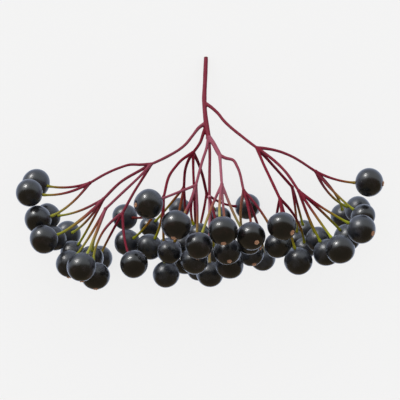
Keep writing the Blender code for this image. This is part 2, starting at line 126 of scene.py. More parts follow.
# Where along their length the pedicels of a spray, or one of them by its number, start to turn green, and
# how far they get by GREEN_BY. At 0 they stay crimson.
GREEN_BY = 0.9
GREENING = {
    "left_tip": (0.35, 0.75), "left_outer": (0.2, 1.0), "left_inner": (0.1, 1.0), "left_under": (0.25, 0.9),
    "mid_left": (0.15, 0.9), "mid_under": (0.15, 0.8), "mid_inner": (0.2, 0.9), "mid_floor": (0.2, 0.9),
    "near_left": (0.35, 0.9), "centre": (0.3, 0.8), "near_centre": (0.3, 0.95), "near_right": (0.3, 0.7),
    "right_inner": (0.35, 0.9), "right_under": (0.2, 0.95), "right_outer": (0.25, 1.0),
    "right_tip": (0.25, 1.0),
    ("left_tip", 2): (0.15, 0.9), ("left_under", 2): (0.5, 0.0), ("mid_left", 0): (0.3, 0.3),
    ("mid_under", 0): (-0.25, 0.95), ("mid_under", 1): (-0.2, 0.55), ("mid_under", 2): (-0.2, 0.75),
    ("mid_inner", 0): (0.7, 0.95), ("mid_floor", 0): (0.5, 0.0), ("near_left", 0): (0.5, 0.0),
    ("near_left", 1): (0.7, 0.8), ("near_left", 2): (0.3, 0.55), ("near_centre", 3): (0.15, 0.95),
    ("near_right", 0): (0.5, 0.4), ("near_right", 1): (0.0, 0.9), ("right_tip", 0): (0.45, 0.6),
}
START_VARIES, LEAST_GREEN = 0.08, 0.85

# Colours along a pedicel from crimson to green, each as (how far turned, colour), fresh and weathered; the
# weathered ones are partly painted light on the near, higher stems.
FRESH = ((0.0, (0.138, 0.006, 0.018)), (0.18, (0.142, 0.011, 0.016)), (0.42, (0.175, 0.062, 0.012)),
         (0.68, (0.185, 0.155, 0.008)), (1.0, (0.24, 0.28, 0.012)))
FADED_AND_LIT = ((0.0, (0.245, 0.068, 0.102)), (0.3, (0.30, 0.13, 0.07)), (0.7, (0.40, 0.38, 0.12)),
         (1.0, (0.34, 0.38, 0.05)))
# Palest pink, partly bleaching and partly a painted highlight on the nearest stems; then a dark red that is
# painted shade.
BLEACHED_AND_LIT, PAINTED_SHADE_RED = (0.52, 0.23, 0.29), (0.070, 0.003, 0.008)
DARK_STREAK, PALE_SPECK = (0.07, 0.006, 0.012), (0.42, 0.2, 0.18)
BERRY_BLACK, WINE_DARK = (0.0050, 0.0046, 0.0040), (0.017, 0.0075, 0.0070)
BLOOM_BLUE = (0.040, 0.047, 0.064)
CROWN_BROWNS = ((0.25, (0.07, 0.032, 0.018)), (0.6, (0.30, 0.14, 0.068)), (1.0, (0.56, 0.33, 0.20)))
CROWN_DARK = (0.12, 0.055, 0.032)
PITH_TO_SKIN = ((0.3, (0.60, 0.50, 0.34)), (0.62, (0.52, 0.42, 0.24)), (0.8, (0.30, 0.24, 0.10)),
                (0.95, (0.16, 0.02, 0.03)))

# The studio.
FLOOR_HALF, FLOOR_SINK = 3000.0, 0.02
FLOOR_PAPER, FLOOR_FIBRE, FLOOR_GLOW = (0.205, 0.205, 0.204), (0.215, 0.215, 0.214), 0.687
SOFT_BEHIND, SOFT_BEFORE = (0.95, 0.95, 0.96), (0.60, 0.60, 0.60)  # the light on everything matt
GLOSS_BEHIND, GLOSS_BEFORE = (1.45, 1.55, 1.62), (0.24, 0.19, 0.12)  # what shows in the gloss
GLOSS_LOW, LOW_EDGE = (0.95, 1.08, 1.38), 0.6
GLOSS_BELOW, BELOW_EDGES = (0.9, 1.0, 1.25), (-0.75, -0.95)
GLOSS_GLOW, GLOW_FROM = (3.3, 3.4, 3.5), 0.82  # the glow round the lamp, and the cosine where it ends
SKY_TILT = math.radians(31.0)  # the bright half starts this far behind the zenith
SKY_EDGE = 0.13  # how softly it starts
BACKDROP = (0.89, 0.89, 0.89)
LAMP_POWER, LAMP_SIZE = 2.0, 19.0  # W/m2 and degrees
LAMP_COLOUR = (1.0, 0.985, 0.96)
LAMP_FROM = (-0.50, 0.76, 0.41)
CAMERA_OVER = np.array((0.0, -6.8, 272.0))  # in the frame that the cluster is designed in
CAMERA_LENS, CAMERA_WIDTH, CAMERA_NEAR = 90.0, 36.0, 0.01

# Where the stems fork.
FORKS = {
    "cut_end": (1.63, 32.0, 0.46),
    "right_fork": (1.35, 19.0, 6.0),
    "left_fork": (1.1, 13.25, 8.5),
    "mid_fork": (1.4, 12.0, 9.0),
    "crown": (2.25, 9.5, 10.5),
    "right_hub": (14.5, 6.5, 17.0),
    "left_hub": (-12.4, 2.3, 18.0),
    "mid_hub": (-1.75, 5.5, 14.0),
    "near_hub": (5.0, 4.5, 19.0),
    "right_tip": (29.5, 0.5, 17.0),
    "right_outer": (24.25, -4.5, 26.0),
    "right_under": (23.9, -3.4, 12.5),
    "right_inner": (19.5, -6.5, 28.0),
    "left_tip": (-27.75, -2.5, 20.0),
    "left_outer": (-24.5, -6.5, 18.0),
    "left_inner": (-23.25, -9.0, 26.0),
    "left_under": (-19.5, -10.0, 20.0),
    "mid_left": (-9.0, -6.0, 24.0),
    "mid_under": (-4.25, -3.5, 9.0),
    "mid_inner": (-1.5, -4.5, 15.5),
    "mid_floor": (1.75, -5.0, 6.0),
    "near_left": (-1.0, -3.15, 27.0),
    "centre": (2.4, -6.0, 18.5),
    "near_centre": (5.3, -3.0, 29.0),
    "near_right": (10.75, -4.5, 26.0),
}

# Each stem as (fork it grows from, fork it ends at, bends between them, diameters at both ends).
STEMS = (
    ("cut_end", "crown", ((1.37, 25.5, 3.0), (1.15, 19.5, 5.75), (1.45, 15.0, 8.0)), (1.16, 1.3)),
    ("right_fork", "right_hub",
     ((3.25, 17.5, 7.5), (4.75, 16.0, 8.5), (6.0, 14.25, 10.0), (11.4, 9.1, 14.5)), (0.84, 0.72)),
    ("left_fork", "left_hub",
     ((-0.2, 12.25, 9.5), (-1.85, 10.1, 11.0), (-3.7, 7.7, 12.5), (-9.1, 3.95, 16.0)), (0.82, 0.72)),
    ("mid_fork", "mid_hub", ((0.75, 10.25, 10.5), (0.2, 8.5, 11.5), (-0.8, 6.75, 13.0)), (0.9, 0.76)),
    ("crown", "near_hub", ((3.4, 7.9, 13.5), (4.35, 5.9, 16.5)), (1.3, 1.1)),
    ("right_hub", "right_tip", ((16.5, 6.35, 17.0), (20.2, 5.6, 17.0), (23.0, 4.5, 17.0)), (0.76, 0.7)),
    ("right_hub", "right_outer", ((17.75, 4.0, 19.0), (21.2, 0.4, 22.5)), (0.76, 0.7)),
    ("right_hub", "right_under", ((16.9, 4.1, 15.5), (19.7, 1.15, 14.0)), (0.8, 0.72)),
    ("right_hub", "right_inner", ((15.75, 2.75, 20.5), (17.5, -1.75, 25.0)), (0.76, 0.7)),
    ("left_hub", "left_tip",
     ((-15.25, 2.15, 18.5), (-17.75, 2.15, 18.5), (-20.5, 1.3, 19.0), (-23.75, -0.15, 19.5)), (0.72, 0.64)),
    ("left_hub", "left_outer", ((-14.75, 1.0, 17.5), (-20.25, -2.25, 17.0)), (0.8, 0.74)),
    ("left_hub", "left_inner", ((-14.75, -0.45, 20.5), (-20.25, -6.0, 24.5)), (0.7, 0.68)),
    ("left_hub", "left_under", ((-14.5, -1.25, 18.5), (-16.5, -4.5, 19.0)), (0.72, 0.7)),
    ("mid_hub", "mid_left", ((-5.05, 3.05, 17.0), (-6.2, 1.65, 18.25), (-7.5, -0.25, 20.0)), (0.78, 0.68)),
    ("mid_hub", "mid_under", ((-3.0, 3.5, 12.5), (-3.75, 1.5, 11.0)), (0.78, 0.74)),
    ("mid_hub", "mid_inner", ((-1.75, 2.0, 14.25),), (0.7, 0.66)),
    ("mid_hub", "mid_floor", ((-0.5, 3.0, 11.0), (0.5, 0.25, 8.75)), (0.8, 0.8)),
    ("crown", "near_left", ((1.75, 6.75, 14.5), (0.65, 3.25, 19.0)), (0.8, 0.7)),
    ("crown", "centre", ((2.5, 6.25, 12.5), (2.45, -0.25, 15.5)), (0.8, 0.74)),
    ("near_hub", "near_centre", ((5.1, 2.0, 22.5),), (0.78, 0.7)),
    ("near_hub", "near_right", ((6.5, 3.75, 20.0), (8.25, 3.25, 21.0), (9.3, 1.5, 22.5)), (0.8, 0.66)),
)

# The berries of each spray, named for its fork: (x, y, z, radius) where each one hangs.
SPRAYS = {
    "left_tip": ((-42.0, -2.5, 16.0, 3.6), (-42.25, -5.9, 22.5, 3.5), (-40.5, -11.5, 20.25, 3.5)),
    "left_outer": ((-39.5, -11.0, 12.5, 3.35), (-38.25, -16.5, 27.0, 3.55), (-37.4, -16.25, 16.75, 3.25),
                   (-35.5, -16.0, 3.5, 3.5), (-33.0, -20.25, 13.5, 3.3)),
    "left_inner": ((-32.5, -22.75, 22.5, 3.45), (-28.5, -23.0, 31.0, 3.55), (-28.0, -21.5, 17.0, 3.2)),
    "left_under": ((-26.0, -25.5, 24.0, 3.55), (-27.0, -22.5, 3.5, 3.5), (-16.0, -22.2, 31.0, 3.4)),
    "mid_left": ((-19.75, -11.25, 9.0, 3.4), (-18.75, -17.75, 15.0, 3.4), (-12.5, -18.75, 18.5, 3.4),
                 (-8.5, -25.5, 20.0, 3.45)),
    "mid_under": ((-13.5, -14.0, 3.0, 2.8), (-5.5, -9.0, 3.0, 2.9), (-8.5, -19.5, 14.0, 3.3),
                  (-4.5, -18.5, 3.0, 2.95)),
    "mid_inner": ((-0.3, -15.4, 15.0, 2.85), (-0.5, -25.5, 3.2, 3.1)),
    "mid_floor": ((12.75, -8.5, 3.5, 3.45), (5.65, -10.8, 3.2, 3.15), (-4.0, -23.5, 9.5, 3.0)),
    "near_left": ((-12.25, -7.75, 34.0, 3.6), (-5.5, -12.75, 37.0, 3.55), (-7.8, -19.4, 24.5, 3.1),
                  (-2.1, -21.3, 28.0, 3.45)),
    "centre": ((2.5, -25.75, 16.5, 3.4), (7.25, -23.0, 24.0, 3.55), (4.0, -20.5, 6.5, 3.1)),
    "near_centre": ((0.0, -17.2, 36.0, 3.4), (5.0, -14.25, 38.5, 3.55), (7.0, -19.0, 31.0, 3.4),
                    (13.0, -17.25, 28.0, 3.15)),
    "near_right": ((12.0, -15.25, 36.0, 3.4), (13.8, -20.0, 17.5, 3.2), (17.1, -21.5, 11.0, 3.35),
                   (18.6, -17.6, 28.0, 3.25)),
    "right_inner": ((19.25, -13.0, 37.0, 3.45), (20.75, -18.5, 12.0, 2.9), (24.9, -21.45, 25.75, 3.5),
                    (27.0, -19.25, 13.5, 2.85)),
    "right_under": ((28.0, -15.0, 2.9, 2.9), (25.5, -17.5, 8.0, 2.6)),
    "right_outer": ((39.5, -14.0, 27.0, 3.55), (37.5, -16.25, 18.0, 3.5), (30.5, -20.0, 25.5, 3.45),
                    (33.5, -18.5, 33.0, 3.55), (29.75, -16.75, 19.0, 3.25)),
    "right_tip": ((42.5, -2.4, 21.0, 3.65), (38.5, -11.0, 3.5, 3.35), (41.0, -9.25, 12.5, 3.45),
                  (41.0, -11.0, 19.75, 3.1)),
}

# How far the middle of a pedicel sways aside, by spray and number in the spray: (x, y).
SWAYS = {
    ("left_tip", 0): (0.0, 0.35), ("left_tip", 2): (0.0, -1.0), ("left_outer", 0): (0.0, 0.4),
    ("left_outer", 2): (0.0, 0.6), ("left_under", 0): (-3.0, 2.0), ("left_under", 1): (-1.0, 0.0),
    ("mid_left", 0): (2.0, 0.0), ("mid_left", 2): (0.8, 0.0), ("mid_under", 0): (-1.3, 0.0),
    ("mid_under", 3): (0.5, 0.0), ("mid_inner", 0): (-1.3, 0.0),
    ("near_left", 0): (0.0, 1.4), ("near_left", 3): (0.8, 0.0), ("centre", 1): (0.5, 0.0),
    ("near_centre", 0): (-1.1, 0.0), ("near_centre", 1): (-0.7, 0.0), ("near_right", 0): (0.6, 0.0),
    ("near_right", 1): (-1.9, 0.0), ("near_right", 2): (1.3, 0.4), ("near_right", 3): (1.25, 1.25),
    ("right_inner", 1): (-1.6, 0.0),
    ("right_inner", 3): (1.25, 2.2), ("right_outer", 0): (0.0, 1.1), ("right_outer", 1): (0.3, 1.7),
    ("right_outer", 3): (0.7, 0.0), ("right_tip", 0): (0.0, 0.2), ("right_tip", 1): (1.0, 1.1),
    ("right_tip", 2): (-0.9, -1.0),
}

# Which way a berry's scar faces where it doesn't just nod.
SCARS = {
    ("left_tip", 1): (-0.6, -0.3, -0.75), ("left_tip", 2): (-0.6, -0.4, -0.7),
    ("left_outer", 1): (-0.7, -0.5, -0.5), ("left_inner", 0): (0.0, -0.97, 0.2),
    ("left_inner", 1): (0.05, -0.97, 0.2), ("left_under", 0): (0.05, -0.93, 0.33),
    ("left_under", 2): (0.45, -0.8, -0.4), ("mid_floor", 2): (-0.3, -0.8, -0.5),
    ("near_left", 0): (-0.85, -0.07, 0.5), ("near_left", 1): (-0.15, -0.88, 0.42),
    ("near_left", 2): (-0.3, -0.8, -0.5), ("near_left", 3): (-0.1, -0.9, -0.4),
    ("centre", 0): (0.0, -0.9, -0.45), ("centre", 1): (0.2, -0.9, -0.4),
    ("near_centre", 0): (-0.1, -0.93, -0.3), ("near_centre", 1): (0.02, -0.83, 0.53),
    ("near_centre", 2): (0.12, -0.7, 0.69), ("near_centre", 3): (0.83, -0.45, 0.3),
    ("near_right", 0): (0.38, -0.45, 0.8), ("near_right", 1): (0.17, -0.81, 0.56),
    ("near_right", 2): (0.3, -0.85, -0.3), ("near_right", 3): (0.2, -0.8, -0.5),
    ("right_inner", 0): (0.68, -0.42, 0.6), ("right_inner", 2): (0.2, -0.8, -0.55),
    ("right_outer", 0): (0.72, -0.28, 0.63), ("right_outer", 2): (0.3, -0.7, -0.65),
    ("right_outer", 3): (0.4, -0.8, -0.45), ("right_tip", 0): (0.93, -0.1, 0.35),
}


# ---- Where everything lies, in millimetres ------------------------------------------------

def place(spot):
    """Where a fork or a bend is."""
    return np.array(FORKS[spot] if isinstance(spot, str) else spot, dtype=float)


def smooth_path(points, step):
    """Points about one step apart along a smooth curve through the given points."""
    lengths = np.linalg.norm(np.diff(points, axis=0), axis=1)
    knots = np.concatenate(([0.0], np.cumsum(lengths)))
    slopes = np.gradient(points, knots, axis=0)
    along = np.linspace(0.0, knots[-1], max(3, round(knots[-1] / step) + 1))
    span = np.clip(np.searchsorted(knots, along, side="right") - 1, 0, len(lengths) - 1)
    size = lengths[span][:, None]
    t = (along - knots[span])[:, None] / size
    return ((1 + 2 * t) * (1 - t) ** 2 * points[span] + t * (1 - t) ** 2 * size * slopes[span]
            + t * t * (3 - 2 * t) * points[span + 1] + t * t * (t - 1) * size * slopes[span + 1])


def trimmed(path, length):
    """The path without its last stretch of this length."""
    away = np.linalg.norm(path - path[-1], axis=1)
    last = int(np.nonzero(away > length)[0][-1])
    share = (away[last] - length) / (away[last] - away[last + 1])
    return np.vstack((path[:last + 1], path[last] + share * (path[last + 1] - path[last])))


def stem_path(stem, step):
    """The course of one of the stalk's stems, which stops short of a spray that grows on its end."""
    start, end, bends, _ = stem
    path = smooth_path(np.array([place(spot) for spot in (start, *bends, end)]), step)
    return trimmed(path, KNOB_RADIUS + JOINT_GAP) if end in SPRAYS else path


def pedicel_start(spray, number):
    """The first course of a pedicel, from its fork to the middle of its berry."""
    fork, goal = place(spray), place(SPRAYS[spray][number][:3])
    stem = next(stem for stem in STEMS if stem[1] == spray)
    onward = fork - place(stem[2][-1])
    reach = np.linalg.norm(goal - fork)
    elbow = fork + LEAN * reach * onward / np.linalg.norm(onward) + (0.5 - LEAN) * (goal - fork)
    elbow[1] -= DROOP * reach
    elbow[:2] += 2 * np.array(SWAYS.get((spray, number), (0.0, 0.0)))  # the course moves half as far
    t = np.linspace(0.0, 1.0, BEADS)[:, None]
    return (1 - t) ** 2 * fork + 2 * t * (1 - t) * elbow + t * t * goal


def groups_of_beads():
    """All that needs room, each as (number, family, beads, radius, how freely it gives way).

    A berry and its pedicel share a number. A family is a spray with the stem that it grows on.
    """
    berries = [(spray, number) for spray, group in SPRAYS.items() for number in range(len(group))]
    groups = [(count, spray, place([SPRAYS[spray][number][:3]]), SPRAYS[spray][number][3], BERRY_GIVE)
              for count, (spray, number) in enumerate(berries)]
    groups += [(count, spray, pedicel_start(spray, number), PEDICEL_ROOT / 2, 1.0)
               for count, (spray, number) in enumerate(berries)]
    groups += [(len(berries) + count, stem[1], stem_path(stem, BEAD_STEP), max(stem[3]) / 2, 0.0)
               for count, stem in enumerate(STEMS)]
    return groups, len(berries)


def close_pairs(groups, count):
    """Each two beads that may come too close, with the distance they keep and the first one's share."""
    sizes = [len(beads) for _, _, beads, _, _ in groups]
    number, family, radius, give = (np.repeat([group[i] for group in groups], sizes) for i in (0, 1, 3, 4))
    beads = np.vstack([group[2] for group in groups])
    reach = np.linalg.norm(beads - np.array([place(name) for name in family]), axis=1)
    give = np.where(reach > 0.0, give, 0.0)
    thin = np.arange(len(beads)) >= count
    keep = radius[:, None] + radius + np.where(thin[:, None] | thin, STEM_GAP, BERRY_GAP)
    kin = (family[:, None] == family) & thin[:, None] & thin
    keep[kin] = np.minimum(keep, FORK_SPREAD * np.minimum(reach[:, None], reach))[kin]
    apart = np.sqrt(sum((beads[:, None, axis] - beads[:, axis]) ** 2 for axis in range(3)))
    may_meet = (apart < keep + LOOK_AROUND) & (number[:, None] != number) & (give[:, None] + give > 0.0)
    first, second = np.nonzero(may_meet)
    return first, second, keep[first, second], give[first] / (give[first] + give[second])


def push_apart(beads, pairs):
    """Move beads that stand too close to each other apart."""
    first, second, keep, share = pairs
    between = beads[first] - beads[second]
    gap = np.maximum(np.sqrt((between ** 2).sum(axis=1)), 0.001)
    np.add.at(beads, first, (share * np.maximum(keep - gap, 0.0) / gap)[:, None] * between)


def lay_out():
    """The berries, as (spray, middle, radius, pedicel path), each just clear of its neighbours."""
    groups, count = groups_of_beads()
    pairs = close_pairs(groups, count)
    beads = np.vstack([group[2] for group in groups])
    middles, paths = beads[:count], beads[count:count + count * BEADS].reshape(count, BEADS, 3)
    bend = paths[:, 1:-1] - (paths[:, :-2] + paths[:, 2:]) / 2
    radii = np.array([group[3] for group in groups[:count]])
    resting = middles[:, 2] < radii + FLAT_DEPTH
    for _ in range(ROUNDS):
        push_apart(beads, pairs)
        middles[:, 2] = np.where(resting, radii - FLAT_DEPTH, np.maximum(middles[:, 2], radii + FLOOR_GAP))
        paths[:, :, 2] = np.maximum(paths[:, :, 2], PEDICEL_ROOT / 2 + FLOOR_GAP)
        paths[:, -1] = middles
        paths[:, 1:-1] -= SPRINGBACK * (paths[:, 1:-1] - (paths[:, :-2] + paths[:, 2:]) / 2 - bend)
    return [(group[1], middle, radius, path)
            for group, middle, radius, path in zip(groups, middles, radii, paths)]


def scar_direction(spray, number, radius, path):
    """Which way a berry's scar faces: away from its pedicel, and nodding."""
    onward = path[-1] - trimmed(path, radius)[-1]
    faces = np.array(SCARS.get((spray, number), onward / np.linalg.norm(onward) + NOD))
    return faces / np.linalg.norm(faces)


def to_the_middle(berries):
    """The shift that brings the middle of the whole cluster over the origin."""
    low = np.min([middle - radius for _, middle, radius, _ in berries], axis=0)
    high = np.max([middle + radius for _, middle, radius, _ in berries], axis=0)
    high[1] = FORKS["cut_end"][1]
    return np.array((-(low[0] + high[0]) / 2, -(low[1] + high[1]) / 2, 0.0))


# ---- Shapes, in millimetres ---------------------------------------------------------------

def unit(vectors):
    return vectors / np.linalg.norm(vectors, axis=-1, keepdims=True)


def frames_along(path):
    """The directions of a path, with two sideways ones that don't twist about it."""
    onward = unit(np.gradient(path, axis=0))
    side = np.cross(onward[0], (0.0, 0.0, 1.0) if abs(onward[0][2]) < 0.9 else (1.0, 0.0, 0.0))
    sides = []
    for direction in onward:
        side = unit(side - direction * (side @ direction))
        sides.append(side)
    return onward, np.array(sides), np.cross(onward, sides)


def lofted(rings, first, last):
    """A closed skin over rings of points, with a point at each end, as (points, quads, triangles)."""
    count, sides = rings.shape[:2]
    points = np.vstack((first, rings.reshape(-1, 3), last))
    here = np.arange(sides)
    there = np.roll(here, -1)
    starts = 1 + sides * np.arange(count - 1)[:, None]
    quads = np.stack((starts + here, starts + there, starts + sides + there, starts + sides + here),
                     axis=-1)
    end = 1 + sides * (count - 1)
    first_fan = np.full(sides, 0), 1 + there, 1 + here
    last_fan = np.full(sides, end + sides), end + here, end + there
    return points, quads.reshape(-1, 4), np.hstack((first_fan, last_fan)).T


def together(shapes):
    """Several shapes as one list of points, quads and triangles."""
    starts = np.cumsum([0] + [len(points) for points, _, _ in shapes])
    return (np.vstack([points for points, _, _ in shapes]),
            np.vstack([quads + start for (_, quads, _), start in zip(shapes, starts)]),
            np.vstack([triangles + start for (_, _, triangles), start in zip(shapes, starts)]))


def mesh_of(name, shape):
    points, quads, triangles = shape
    mesh = bpy.data.meshes.new(name)
    mesh.from_pydata(points.tolist(), [], quads.tolist() + triangles.tolist())
    return mesh


def tube(path, radii):
    """A round stem of varying thickness with rounded ends."""
    onward, side, up = frames_along(path)
    turn = np.linspace(0.0, 2 * math.pi, TUBE_SIDES, endpoint=False)[:, None]
    across = np.cos(turn) * side[:, None] + np.sin(turn) * up[:, None]
    rings = path[:, None] + radii[:, None, None] * across
    return lofted(rings, path[0] - END_ROUNDING * radii[0] * onward[0],
                  path[-1] + END_ROUNDING * radii[-1] * onward[-1])


def ball(middle, radius):
    """A small round swelling where stems fork."""
    tilt = np.linspace(0.0, math.pi, TUBE_SIDES // 2 + 2)[1:-1]
    pole = radius * np.array((0.0, 1.0, 0.0))
    path = middle - np.cos(tilt)[:, None] * pole
    turn = np.linspace(0.0, 2 * math.pi, TUBE_SIDES, endpoint=False)[:, None]
    across = np.cos(turn) * np.array((0.0, 0.0, 1.0)) + np.sin(turn) * np.array((1.0, 0.0, 0.0))
    rings = path[:, None] + radius * np.sin(tilt)[:, None, None] * across
    return lofted(rings, middle - pole, middle + pole)


def grown_together(name, shapes):
    """One smooth skin round shapes that run into each other."""
    raw = bpy.data.objects.new(name, mesh_of(name, together(shapes)))
    bpy.context.scene.collection.objects.link(raw)
    skin = raw.modifiers.new("skin", "REMESH")
    skin.mode = "VOXEL"
    skin.voxel_size = SKIN_GRAIN
    even = raw.modifiers.new("even", "SMOOTH")
    even.factor = 0.5
    even.iterations = SKIN_EVENING
    mesh = bpy.data.meshes.new_from_object(raw.evaluated_get(bpy.context.evaluated_depsgraph_get()))
    bpy.data.objects.remove(raw)
    return mesh


def points_of(mesh):
    points = np.empty(3 * len(mesh.vertices))
    mesh.vertices.foreach_get("co", points)
    return points.reshape(-1, 3)


def store(mesh, name, values):
    """Keep a number or a vector for every point of a mesh, for its finish to read."""
    kind, field = ("FLOAT", "value") if values.ndim == 1 else ("FLOAT_VECTOR", "vector")
    mesh.attributes.new(name, kind, "POINT").data.foreach_set(field, values.ravel().astype(np.float32))


def put_in_place(mesh, points, shift):
    """Bring the points of a mesh from millimetres into metres, none of them below the floor."""
    placed = (points + shift) * MM
    placed[:, 2] = np.maximum(placed[:, 2], 0.0)
    mesh.vertices.foreach_set("co", placed.ravel())
    mesh.update()


class Strand:
    """The course of one stem or pedicel, with its thickness and how its colour goes along it."""

    def __init__(self, path, radii, turn, tint, draw):
        self.path = path
        self.radii = radii * (1.0 + THICKNESS_WAVER * wavering(len(path), draw))
        self.turn = turn
        self.tint = np.full(len(path), tint)
        lengths = np.linalg.norm(np.diff(path, axis=0), axis=1)
        self.along = np.concatenate(([0.0], np.cumsum(lengths)))
        self.onward = frames_along(path)[0]
        self.origin = np.tile(draw.uniform(-GRAIN_SHIFT, GRAIN_SHIFT, 3), (len(path), 1))


def wavering(count, draw):
    """A smooth random wave between about -1 and 1."""
    knots = max(3, count // WAVER_LENGTH)
    return np.interp(np.linspace(0.0, knots - 1.0, count), np.arange(knots), draw.uniform(-1.0, 1.0, knots))


def nearest(points, beads):
    """The number of the bead next to each point."""
    blocks = np.array_split(points, max(1, len(points) // POINTS_AT_ONCE))
    found = [np.argmin(((block[:, None] - beads) ** 2).sum(axis=2), axis=1) for block in blocks]
    return np.concatenate(found)


def describe_skin(mesh, points, strands):
    """Give a skin the colour course of the strand under each point, and the run of its grain."""
    beads, onward, origin = (np.vstack([getattr(strand, field) for strand in strands])
                             for field in ("path", "onward", "origin"))
    along, turn, tint = (np.concatenate([getattr(strand, field) for strand in strands])
                         for field in ("along", "turn", "tint"))
    bead = nearest(points, beads)
    offset = points - beads[bead]
    forward = (offset * onward[bead]).sum(axis=1, keepdims=True)
    around = unit(offset - forward * onward[bead] + 1e-9)
    run = along[bead][:, None] + forward
    store(mesh, "grain", around + GRAIN_STRETCH * run * onward[bead] + origin[bead])
    store(mesh, "turn", turn[bead])
    store(mesh, "tint", tint[bead])


def hand_over(name, mesh, finish, slot, *nodes):
    """A finished piece: it rides on the cluster and stands for its solids."""
    piece = bpy.data.objects.new(name, mesh)
    bpy.context.scene.collection.objects.link(piece)
    mesh.materials.append(finish)
    mesh.shade_smooth()
    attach(piece, "root")
    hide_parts(*nodes)


# ---- The stalk and the pedicels -----------------------------------------------------------

def build_stalk(shift, skin, draw):
    """The stalk with all its stems, each running into the fork that it ends at."""
    strands = []
    for start, end, bends, diameters in STEMS:
        path = smooth_path(np.array([place(spot) for spot in (start, *bends, end)]), FINE_STEP)
        path = path[1:] if start == "cut_end" else path
        radii = np.linspace(*diameters, len(path)) / 2 + SKIN_LOSS
        if start != "cut_end":
            from_root = np.linalg.norm(path - path[0], axis=1)
            radii *= 1.0 + ROOT_FLARE * np.exp(-(from_root / FLARE_LENGTH) ** 2)
        strands.append(Strand(path, radii, np.zeros(len(path)), TINTS[end], draw))
    shapes = [tube(strand.path, strand.radii) for strand in strands]
    for start in sorted({stem[0] for stem in STEMS[1:]}):
        widest = max(stem[3][0] for stem in STEMS[1:] if stem[0] == start)
        shapes.append(ball(place(start), FORK_SWELL * widest / 2 + SKIN_LOSS))
    mesh = grown_together("stalk skin", shapes)
    points = points_of(mesh)
    describe_skin(mesh, points, strands)
    put_in_place(mesh, points, shift)
    hand_over("stalk_skin", mesh, skin, "stem", "stalk")
    return strands[0]


def build_cut_face(stalk, shift, finish):
    """The face where the stalk was cut: pith inside a low rim of wood and skin."""
    onward, side, up = (vectors[0] for vectors in frames_along(stalk.path))
    turn = np.linspace(0.0, 2 * math.pi, CUT_SIDES, endpoint=False)[:, None]
    across = np.cos(turn) * side + np.sin(turn) * up
    base = stalk.path[0] - CUT_STAND * onward
    reach, height = np.array(CUT_RINGS).T[:, :, None, None]
    rings = base - height * onward + CUT_RADIUS * reach * across
    points, quads, triangles = lofted(rings, base - CUT_FOOT * onward, base - CUT_MIDDLE * onward)
    mesh = mesh_of("cut face", (points, quads[:, ::-1], triangles[:, ::-1]))  # it faces against the stalk
    store(mesh, "out", np.linalg.norm(points - base, axis=1) / CUT_RADIUS)
    put_in_place(mesh, points, shift)
    hand_over("cut_face", mesh, finish, "stem", "stalk")


def pedicel_strand(spray, number, radius, path, draw):
    """A pedicel from its fork into its berry: thinnest in the middle, and swollen where the berry sits."""
    course = smooth_path(path, FINE_STEP)
    course = course[np.linalg.norm(course - course[-1], axis=1) > radius * BERRY_SQUASH - PEDICEL_SINK]
    share = np.linspace(0.0, 1.0, len(course))
    left = np.linalg.norm(course - course[-1], axis=1)
    thickness = PEDICEL_ROOT + share * (PEDICEL_TIP - PEDICEL_ROOT)
    thickness -= PEDICEL_WAIST * np.sin(math.pi * share)
    thickness += SEAT_SWELL * np.exp(-((left - PEDICEL_SINK) / SEAT_LENGTH) ** 2)
    start, amount = GREENING.get((spray, number), GREENING[spray])
    start += draw.uniform(-START_VARIES, START_VARIES)
    amount *= draw.uniform(LEAST_GREEN, 1.0)
    turn = amount * np.clip((share - start) / (GREEN_BY - start), 0.0, 1.0)
    tint = TINTS.get((spray, number), TINTS[spray]) + draw.uniform(-TINT_VARIES, TINT_VARIES)
    return Strand(course, thickness / 2 + SKIN_LOSS, turn, tint, draw)


def build_pedicels(spray, berries, shift, skin, draw):
    """The pedicels of a spray, which part from one swelling."""
    strands = [pedicel_strand(spray, number, radius, path, draw)
               for number, (_, _, radius, path) in enumerate(berries)]
    shapes = [tube(strand.path, strand.radii) for strand in strands] + [ball(place(spray), KNOB_RADIUS)]
    mesh = grown_together(f"pedicels {spray}", shapes)
    points = points_of(mesh)
    describe_skin(mesh, points, strands)
    put_in_place(mesh, points, shift)
    hand_over(f"pedicels_{spray}", mesh, skin, "stem", f"spray_{spray}")


# ---- The berries and their scars -----------------------------------------------------------

def berry_axes(spray, number, radius, path):
    """The way to a berry's scar with two directions across it, and the way to its pedicel."""
    hang = scar_direction(spray, number, radius, path)
    side = unit(np.cross(hang, ASIDE))
    return hang, side, np.cross(hang, side), unit(trimmed(path, radius)[-1] - path[-1])


